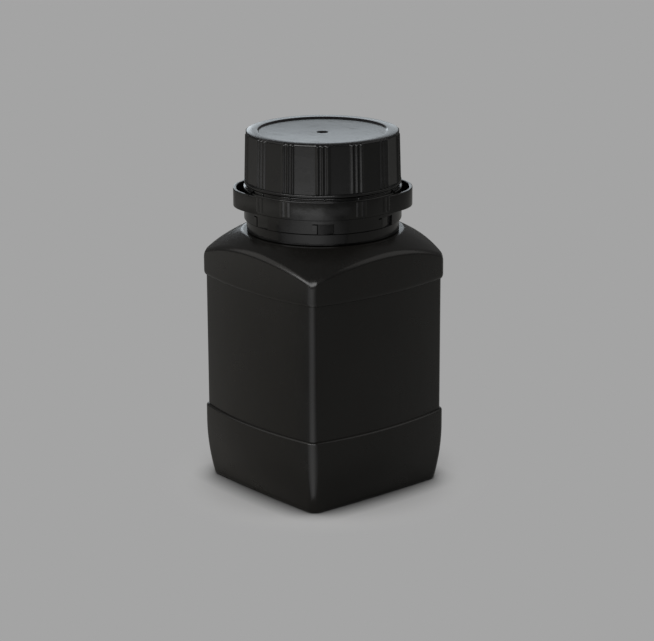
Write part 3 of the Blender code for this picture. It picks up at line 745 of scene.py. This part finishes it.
def ear_path():
    """The middle line of one pull ear about +X, as (point, outward direction)."""
    root = RING_RADIUS - EAR_ROOT_DEPTH - EAR_WALL / 2
    swell = EAR_RADIUS - EAR_WALL / 2 - root
    steps = EAR_STEPS
    points = []
    for i in range(steps + 1):
        angle = EAR_SPAN * (i / steps - 0.5)
        past_tip = max(0.0, (2 * abs(angle) - EAR_TIP_SPAN) / (EAR_SPAN - EAR_TIP_SPAN))
        points.append(polar(root + swell * (0.5 + 0.5 * math.cos(math.pi * past_tip)), angle))
    path = []
    for i, point in enumerate(points):
        along = points[min(i + 1, steps)] - points[max(i - 1, 0)]
        path.append((point, Vector((along.y, -along.x, 0.0)).normalized()))
    return path


def make_ears():
    """Two pull ears, each a rounded strip swept along its path."""
    top = RING_TOP - EAR_DROP
    half = EAR_WALL / 2
    corners = ((half, 0.0), (half, -EAR_HEIGHT), (-half, -EAR_HEIGHT), (-half, 0.0))
    section = rounded([(off, level, EAR_EDGE) for off, level in corners])
    mesh = bmesh.new()
    for index in range(2):
        spin = Matrix.Rotation(EAR_AXIS + index * math.pi, 4, "Z")
        rows = []
        for point, out in ear_path():
            strip = [point + out * off + Vector((0.0, 0.0, top + level)) for off, level in section]
            rows.append([spin @ corner for corner in strip])
        add_rows(mesh, rows)
    bmesh.ops.recalc_face_normals(mesh, faces=mesh.faces)
    ears = link_mesh("ring_ears", mesh)
    cut(ears, tear_notches())
    return ears


def add_bar(mesh, centre, radius, low, high):
    """An upright round bar with domed ends."""
    dome = [(radius * math.sin(turn) + HAIR, radius * (1 - math.cos(turn))) for turn in quarter_turn(4)]
    ends = [(reach, low + rise) for reach, rise in dome]
    ends += [(reach, high - rise) for reach, rise in reversed(dome)]
    angles = [2 * math.pi * k / BAR_POINTS for k in range(BAR_POINTS)]
    add_rows(mesh, [[centre + polar(reach, angle, level) for angle in angles] for reach, level in ends])


def window_ramp(index, level):
    """The slanting face behind one window, from above, with a narrow dark gap before it."""
    start = window_start(index) + WINDOW_SHADOW_GAP
    span = WINDOW_SPAN - WINDOW_SHADOW_GAP
    shallow, deep = WINDOW_RAMP
    points = []
    for i in range(RAMP_STEPS + 1):
        share = i / RAMP_STEPS
        depth = shallow + (deep - shallow) * share
        points.append(polar(RING_RADIUS - depth, start + span * share, level))
    inner = RING_BORE + HAIR
    return points + [polar(inner, start + span, level), polar(inner, start, level)]


def band_rib(mesh, angle, low, high):
    """A low wide rib on the upper band, round across."""
    half = math.asin(BAND_RIB_WIDTH / 2 / BAND_RIB_RADIUS)
    centre = Vector((RING_RADIUS + BAND_RIB_HEIGHT - BAND_RIB_RADIUS, 0.0, 0.0))
    spin = Matrix.Rotation(angle, 3, "Z")
    arc = []
    for i in range(BAND_RIB_STEPS + 1):
        arc.append(centre + polar(BAND_RIB_RADIUS, half * (2 * i / BAND_RIB_STEPS - 1)))
    back = [Vector((RING_RADIUS - BAND_RIB_ROOT, point.y, 0.0)) for point in (arc[-1], arc[0])]
    outline = [spin @ point for point in arc + back]
    add_rows(mesh, [[point + Vector((0.0, 0.0, level)) for point in outline] for level in (low, high)])


def latch_hook(index):
    """The inward hook of one latch tongue, as rows from its foot up."""
    start = window_start(index) - 0.85 * TONGUE_SPAN
    section = (
        (RING_BORE - 0.1 * HOOK_REACH, HOOK_TOP - HOOK_HEIGHT),
        (RING_BORE - HOOK_REACH, HOOK_TOP - 0.3 * HOOK_HEIGHT),
        (RING_BORE - HOOK_REACH, HOOK_TOP),
    )
    outer = RING_BORE + RING_WALL / 2
    span = 0.75 * TONGUE_SPAN
    return [sector(tip, outer, start, span, level, HOOK_STEPS) for tip, level in section]


def make_ring_details():
    """Rib pairs on the upper band, broken bridge stubs, and the latches' hooks and ramps."""
    mesh = bmesh.new()
    low = UPPER_BAND_BOTTOM + 0.1 * UPPER_BAND_HEIGHT
    high = RING_TOP - 0.1 * UPPER_BAND_HEIGHT
    ears = (EAR_AXIS, EAR_AXIS + math.pi)
    for ear, side, angle, half in product(ears, (-1, 1), BAND_RIB_ANGLES, (-0.5, 0.5)):
        band_rib(mesh, ear + side * angle + half * BAND_RIB_SPACING, low, high)
    for i in range(BRIDGES):
        foot = polar(RING_BORE + RING_LIP_WALL, 2 * math.pi * i / BRIDGES)
        add_bar(mesh, foot, BRIDGE_RADIUS, RING_TOP - BRIDGE_RADIUS, CAP_BOTTOM - 1.3 * CLEARANCE)
    for index in range(WINDOWS):
        add_rows(mesh, latch_hook(index))
        add_rows(mesh, [window_ramp(index, level) for level in (LOWER_BAND_BOTTOM, WINDOW_TOP)])
    bmesh.ops.recalc_face_normals(mesh, faces=mesh.faces)
    return link_mesh("ring_details", mesh)


# Materials

# Each colour is given as the two ends of a faint mottle
BODY_COLOURS = ((0.0056, 0.0052, 0.0045), (0.0074, 0.0069, 0.0060))
CAP_COLOURS = ((0.0038, 0.0039, 0.0040), (0.0055, 0.0056, 0.0057))
RING_COLOURS = ((0.0034, 0.0034, 0.0033), (0.0050, 0.0050, 0.0048))
FOAM_COLOURS = ((0.72, 0.72, 0.70), (0.84, 0.84, 0.82))


class Graph:
    """A few short words for building a material's nodes."""

    def __init__(self, name):
        self.material = bpy.data.materials.new(name)
        self.material.use_nodes = True
        self.nodes = self.material.node_tree.nodes
        self.links = self.material.node_tree.links
        self.shader = self.nodes["Principled BSDF"]
        self.place = self.nodes.new("ShaderNodeTexCoord").outputs["Object"]

    def link(self, output, node, socket):
        self.links.new(output, node.inputs[socket])

    def noise(self, scale, detail, stretch=(1.0, 1.0, 1.0), roughness=0.5):
        mapping = self.nodes.new("ShaderNodeMapping")
        mapping.inputs["Scale"].default_value = stretch
        self.link(self.place, mapping, "Vector")
        noise = self.nodes.new("ShaderNodeTexNoise")
        noise.inputs["Scale"].default_value = scale
        noise.inputs["Detail"].default_value = detail
        noise.inputs["Roughness"].default_value = roughness
        self.link(mapping.outputs["Vector"], noise, "Vector")
        return noise.outputs["Fac"]

    def spread(self, value, low, high, from_low=0.3, from_high=0.7, kind="LINEAR"):
        ranges = self.nodes.new("ShaderNodeMapRange")
        ranges.interpolation_type = kind
        ranges.inputs["From Min"].default_value = from_low
        ranges.inputs["From Max"].default_value = from_high
        ranges.inputs["To Min"].default_value = low
        ranges.inputs["To Max"].default_value = high
        self.link(value, ranges, "Value")
        return ranges.outputs["Result"]

    def tint(self, value, first, second):
        """A mix of two colours, each plain or from another node."""
        mix = self.nodes.new("ShaderNodeMix")
        mix.data_type = "RGBA"
        self.link(value, mix, "Factor")
        for colour, socket in ((first, "A"), (second, "B")):
            if isinstance(colour, tuple):
                mix.inputs[socket].default_value = (*colour, 1.0)
            else:
                self.link(colour, mix, socket)
        return mix.outputs["Result"]

    def combine(self, operation, first, second):
        node = self.nodes.new("ShaderNodeMath")
        node.operation = operation
        self.link(first, node, 0)
        self.link(second, node, 1)
        return node.outputs[0]

    def vector(self, operation, value, other=(0.0, 0.0, 0.0)):
        """Vector math. The other vector counts only where the operation takes two."""
        node = self.nodes.new("ShaderNodeVectorMath")
        node.operation = operation
        self.link(value, node, 0)
        node.inputs[1].default_value = other
        return node.outputs["Vector" if operation == "NORMALIZE" else "Value"]

    def bump(self, height, depth, below=None):
        node = self.nodes.new("ShaderNodeBump")
        node.inputs["Strength"].default_value = 1.0
        node.inputs["Distance"].default_value = depth
        self.link(height, node, "Height")
        if below:
            self.link(below, node, "Normal")
        return node.outputs["Normal"]

    def finished(self, colour, roughness, normal):
        """The material, with these three linked to its shader."""
        self.link(colour, self.shader, "Base Color")
        self.link(roughness, self.shader, "Roughness")
        self.link(normal, self.shader, "Normal")
        return self.material


def body_plastic():
    """Blow-moulded polyethylene: satin, with fine grain, faint ripples and a few rubbed places."""
    g = Graph("black_polyethylene")
    cloud = g.noise(45.0, 3.0)
    grain = g.noise(2600.0, 2.0)
    ripple = g.noise(150.0, 2.0, (1.0, 1.0, 0.35))
    rubs = g.noise(90.0, 6.0, (1.0, 1.0, 2.2), 0.7)
    colour = g.tint(g.spread(cloud, 0.0, 1.0), *BODY_COLOURS)
    rough = g.combine("ADD", g.spread(cloud, 0.22, 0.26), g.spread(rubs, 0.0, 0.08, 0.55, 0.75))
    soft = g.bump(ripple, depth=0.00008)
    return g.finished(colour, rough, g.bump(grain, depth=0.0000025, below=soft))


def cap_plastic():
    """Moulded polypropylene: semi-gloss, with slight sink marks and fine handling scuffs."""
    g = Graph("black_cap")
    cloud = g.noise(60.0, 3.0)
    sink = g.noise(110.0, 1.0)
    scuff = g.noise(520.0, 5.0, (1.0, 0.3, 1.0), 0.65)
    streak = g.noise(420.0, 4.0, (1.0, 0.35, 1.0), 0.6)
    grain = g.noise(3200.0, 2.0)
    colour = g.tint(g.spread(cloud, 0.0, 1.0), *CAP_COLOURS)
    rough = g.combine("ADD", g.spread(cloud, 0.17, 0.22), g.spread(scuff, 0.0, 0.10, 0.56, 0.74))
    soft = g.bump(sink, depth=0.00004)
    streaked = g.bump(streak, depth=0.000012, below=soft)
    return g.finished(colour, rough, g.bump(grain, depth=0.0000015, below=streaked))


def ring_plastic():
    """The same moulding material, thinner and glossier, with the waviness of a thin band."""
    g = Graph("black_ring")
    cloud = g.noise(80.0, 3.0)
    wave = g.noise(190.0, 2.0)
    grain = g.noise(3000.0, 2.0)
    colour = g.tint(g.spread(cloud, 0.0, 1.0), *RING_COLOURS)
    soft = g.bump(wave, depth=0.00010)
    return g.finished(colour, g.spread(cloud, 0.13, 0.20), g.bump(grain, depth=0.000002, below=soft))


def liner_foam():
    g = Graph("white_foam")
    cells = g.noise(2200.0, 3.0)
    colour = g.tint(g.spread(cells, 0.0, 1.0), *FOAM_COLOURS)
    return g.finished(colour, g.spread(cells, 0.5, 0.65), g.bump(cells, depth=0.00004))


def dress(pieces, body, material, node):
    for piece in pieces:
        piece.data.materials.clear()
        piece.data.materials.append(material)
        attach(piece, body)
        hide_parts(node)


# Stage, light and camera

PHOTO_AZIMUTH = math.radians(39.989)
PHOTO_PITCH = math.radians(16.1256)
PHOTO_ROLL = math.radians(-0.2664)
PHOTO_FORWARD = Vector((math.sin(PHOTO_AZIMUTH), math.cos(PHOTO_AZIMUTH), 0.0))
PHOTO_RIGHT = Vector((math.cos(PHOTO_AZIMUTH), -math.sin(PHOTO_AZIMUTH), 0.0))
CAMERA_PLACE = (-0.46029, -0.55059, 0.26082)
CAMERA_LENS = 125.98
SENSOR_WIDTH = 36.0
LAMP_AIM = Vector((0.0, 0.0, 0.06))
WHITE = (1.0, 1.0, 1.0)
BACK_TINT = (0.86, 0.94, 1.0)
LEFT_TINT = (1.0, 0.97, 0.93)
RIGHT_TINT = (1.0, 0.98, 0.95)
ROOM_STRENGTH = 0.11

BACKGROUND = (0.3712, 0.3712, 0.3712, 1.0)
TABLE_SIZE = 8.0
TABLE_GAP = 0.0001
SHADOW_REACH = (0.034, 0.056)
# How far the painted contact shade reaches from the bottle
PAINTED_SHADE_REACH = 0.008
TABLE_COLOUR = (0.555, 0.555, 0.555)
# Painted light and shade on the table, seen in the bottle's reflections: a darker tone behind it, a
# near and a far tone before it, lighter towards the bright side
TABLE_DARK_TONE = (0.215, 0.213, 0.205)
TABLE_NEAR_TONE = (0.300, 0.290, 0.270)
TABLE_FAR_TONE = (0.55, 0.54, 0.51)
TABLE_FADE = (0.2, 0.95)
TABLE_NEAR_REACH = (0.27, 0.42)
TABLE_BRIGHT_SIDE = math.radians(-60.0)

# Glow along each bright card, as (degrees from the view's middle, radiance) from left to right
CORNER_GLOW = (
    (-78, 0.10), (-66, 0.40), (-50, 0.58), (-36, 0.74), (-22, 0.76),
    (-8, 0.74), (6, 0.55), (20, 0.34), (45, 0.08),
)
CORNER_LOW_GLOW = [(degrees, 1.25 * radiance) for degrees, radiance in CORNER_GLOW]
FOOT_GLOW = (
    (-56, 0.2), (-50, 0.45), (-32, 0.5), (-27, 1.1), (-14, 1.1), (-1, 1.1),
    (1, 0.65), (11, 0.6), (14, 0.4), (20, 0.2), (34, 0.0),
)
RING_GLOW = (
    (-56, 0.2), (-50, 0.45), (-32, 0.5), (-27, 0.9), (-14, 0.9), (-1, 0.9),
    (1, 0.75), (6, 0.7), (13, 0.5), (20, 0.2), (34, 0.0),
)
CAP_FOOT_GLOW = (
    (-50, 0.3), (-44, 1.7), (-30, 1.8), (-15, 1.8), (0, 1.7), (4, 0.45), (28, 0.42), (46, 0.1),
)
CAP_GLOW = (
    (-50, 0.3), (-44, 1.2), (-30, 1.25), (-15, 1.25), (0, 1.2), (4, 0.45), (28, 0.42), (46, 0.1),
)

# The cards lie edge to edge, these distances from the bottle's front corner
CARD_EDGES = (0.004, 0.10, 0.27, 0.318, 0.40, 0.44, 0.66)
CARDS = (
    ("corner_low_card", CORNER_LOW_GLOW),
    ("corner_card", CORNER_GLOW),
    ("foot_card", FOOT_GLOW),
    ("ring_card", RING_GLOW),
    ("cap_foot_card", CAP_FOOT_GLOW),
    ("cap_card", CAP_GLOW),
)


def staged(forward, right, up):
    """A point as seen in the photo: metres behind the bottle, to its right, and above the floor."""
    return PHOTO_FORWARD * forward + PHOTO_RIGHT * right + Vector((0.0, 0.0, up))


def on_floor(distance, angle):
    """A step over the floor towards the camera, turned to the right by the angle."""
    return staged(-distance * math.cos(angle), distance * math.sin(angle), 0.0)


CARD_CENTRE = staged(-0.0404, -0.0036, 0.0)


def add_softbox(name, place, width, height, radiance, colour=WHITE, reflected=True, lights=True):
    """A rectangular lamp facing the bottle, unseen by the camera: reflected, giving light, or both."""
    light = bpy.data.lights.new(name, "AREA")
    light.shape = "RECTANGLE"
    light.size = width
    light.size_y = height
    light.energy = radiance * math.pi * width * height
    light.color = colour
    obj = bpy.data.objects.new(name, light)
    obj.location = place
    obj.rotation_euler = (LAMP_AIM - place).to_track_quat("-Z", "Y").to_euler()
    obj.visible_camera = False
    obj.visible_glossy = reflected
    obj.visible_diffuse = lights
    bpy.context.scene.collection.objects.link(obj)


def glowing(name):
    """A material that shines at each point by the strength stored there as "glow"."""
    material = bpy.data.materials.new(name)
    material.use_nodes = True
    nodes = material.node_tree.nodes
    links = material.node_tree.links
    nodes.remove(nodes["Principled BSDF"])
    share = nodes.new("ShaderNodeAttribute")
    share.attribute_name = "glow"
    emission = nodes.new("ShaderNodeEmission")
    links.new(share.outputs["Fac"], emission.inputs["Strength"])
    links.new(emission.outputs["Emission"], nodes["Material Output"].inputs["Surface"])
    return material


def add_card(name, near, far, glow):
    """A graded bright card lying before the bottle, seen only in it: a fan from its front corner."""
    mesh = bmesh.new()
    layer = mesh.verts.layers.float.new("glow")
    edges = []
    for degrees, radiance in glow:
        angle = math.radians(degrees)
        edge = [mesh.verts.new(CARD_CENTRE + on_floor(distance, angle)) for distance in (near, far)]
        for vert in edge:
            vert[layer] = radiance
        edges.append(edge)
    for first, second in zip(edges[:-1], edges[1:]):
        mesh.faces.new((*first, *reversed(second)))
    card = link_mesh(name, mesh)
    card.data.materials.append(glowing(name))
    card.visible_camera = False
    card.visible_diffuse = False
    card.visible_shadow = False
    card.visible_transmission = False


def table_material():
    """Seen directly: pale, with the bottle's shadow close by, and an even grey further off.

    In the bottle's reflections it shows painted light and shade: brighter before it, on the left, and
    darker behind it.
    """
    g = Graph("pale_table")
    seen = g.nodes.new("ShaderNodeLightPath").outputs["Is Camera Ray"]
    # Painted light and shade for everything but the camera: the table's colour is lighter before the
    # bottle and on its left, and darker behind it
    distance = g.vector("LENGTH", g.place)
    heading = g.vector("NORMALIZE", g.place)
    side = g.vector("DOT_PRODUCT", heading, on_floor(1.0, TABLE_BRIGHT_SIDE))
    share = g.spread(side, 0.0, 1.0, *TABLE_FADE, "SMOOTHSTEP")
    further = g.spread(distance, 0.0, 1.0, *TABLE_NEAR_REACH)
    painted_light_tone = g.tint(share, TABLE_DARK_TONE, g.tint(further, TABLE_NEAR_TONE, TABLE_FAR_TONE))
    # Painted contact shade: ambient occlusion darkens the table's colour close to the bottle, on top of
    # the real shadow from the lamps
    painted_contact_shade = g.nodes.new("ShaderNodeAmbientOcclusion")
    painted_contact_shade.samples = 16
    painted_contact_shade.inputs["Distance"].default_value = PAINTED_SHADE_REACH
    painted_contact_shade.inputs["Color"].default_value = (*TABLE_COLOUR, 1.0)
    g.link(g.tint(seen, painted_light_tone, painted_contact_shade.outputs["Color"]), g.shader, "Base Color")
    g.shader.inputs["Roughness"].default_value = 0.9
    g.shader.inputs["Specular IOR Level"].default_value = 0.0

    grey = g.nodes.new("ShaderNodeEmission")
    grey.inputs["Color"].default_value = BACKGROUND
    mix = g.nodes.new("ShaderNodeMixShader")
    even = g.spread(distance, 0.0, 1.0, *SHADOW_REACH, "SMOOTHSTEP")
    g.link(g.combine("MULTIPLY", seen, even), mix, 0)
    g.link(g.shader.outputs["BSDF"], mix, 1)
    g.link(grey.outputs["Emission"], mix, 2)
    g.link(mix.outputs["Shader"], g.nodes["Material Output"], "Surface")
    return g.material


def add_floor():
    mesh = bmesh.new()
    bmesh.ops.create_grid(mesh, x_segments=1, y_segments=1, size=TABLE_SIZE)
    floor = link_mesh("floor", mesh)
    floor.location.z = -TABLE_GAP
    floor.data.materials.append(table_material())


def add_world():
    """A dim room; behind the view it shows the same grey as the table."""
    world = bpy.data.worlds.new("soft_room")
    world.use_nodes = True
    nodes = world.node_tree.nodes
    links = world.node_tree.links
    room = nodes["Background"]
    room.inputs["Color"].default_value = (1.0, 1.0, 1.0, 1.0)
    room.inputs["Strength"].default_value = ROOM_STRENGTH
    seen = nodes.new("ShaderNodeBackground")
    seen.inputs["Color"].default_value = BACKGROUND
    path = nodes.new("ShaderNodeLightPath")
    mix = nodes.new("ShaderNodeMixShader")
    links.new(path.outputs["Is Camera Ray"], mix.inputs[0])
    links.new(room.outputs["Background"], mix.inputs[1])
    links.new(seen.outputs["Background"], mix.inputs[2])
    links.new(mix.outputs["Shader"], nodes["World Output"].inputs["Surface"])
    bpy.context.scene.world = world


def add_camera():
    """The photo's camera, as fitted to the bottle's outline."""
    level = PHOTO_FORWARD * math.cos(PHOTO_PITCH) - Vector((0.0, 0.0, math.sin(PHOTO_PITCH)))
    up = PHOTO_RIGHT.cross(level)
    right = PHOTO_RIGHT * math.cos(PHOTO_ROLL) + up * math.sin(PHOTO_ROLL)
    up = up * math.cos(PHOTO_ROLL) - PHOTO_RIGHT * math.sin(PHOTO_ROLL)
    camera = bpy.data.cameras.new("camera")
    camera.sensor_width = SENSOR_WIDTH
    camera.sensor_fit = "HORIZONTAL"
    camera.lens = CAMERA_LENS
    camera.clip_start = 0.01
    camera.clip_end = 50.0
    holder = bpy.data.objects.new("camera", camera)
    turn = Matrix((right, up, -level)).transposed().to_4x4()
    holder.matrix_world = Matrix.Translation(CAMERA_PLACE) @ turn
    bpy.context.scene.collection.objects.link(holder)
    bpy.context.scene.camera = holder


dress(make_body(), "bottle", body_plastic(), "bottle_body")
dress(make_cap(), "cap", cap_plastic(), "screw_cap")
ring_pieces = [make_ring_shell(), make_ears(), make_ring_details()]
dress(ring_pieces, "bottle", ring_plastic(), "tamper_ring")
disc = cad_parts["sealing_disc"]
disc.data.materials.clear()
disc.data.materials.append(liner_foam())

add_floor()
add_world()
add_softbox("back_low", staged(1.30, -0.04, 0.25), 0.48, 0.24, 1.00, BACK_TINT)
add_softbox("back_high", staged(1.30, -0.04, 0.47), 0.48, 0.20, 0.72, BACK_TINT)
add_softbox("back_left", staged(1.28, -0.22, 0.34), 0.20, 0.22, 1.25, BACK_TINT)
add_softbox("key_strip", staged(-1.05, -0.46, 0.66), 2.0, 0.60, 3.7, lights=False)
add_softbox("left_box", staged(-0.05, -1.10, 0.80), 1.4, 1.1, 0.56, LEFT_TINT)
add_softbox("right_box", staged(-0.05, 1.10, 0.75), 1.3, 1.0, 0.42, RIGHT_TINT)
add_softbox("top_light", staged(0.0, 0.0, 1.40), 1.6, 1.6, 2.0, reflected=False)
add_softbox("front_light", staged(-1.20, 0.0, 0.75), 1.0, 1.0, 1.0, reflected=False)
for (name, glow), near, far in zip(CARDS, CARD_EDGES[:-1], CARD_EDGES[1:]):
    add_card(name, near, far, glow)
add_camera()
bpy.context.scene.view_settings.view_transform = "Standard"
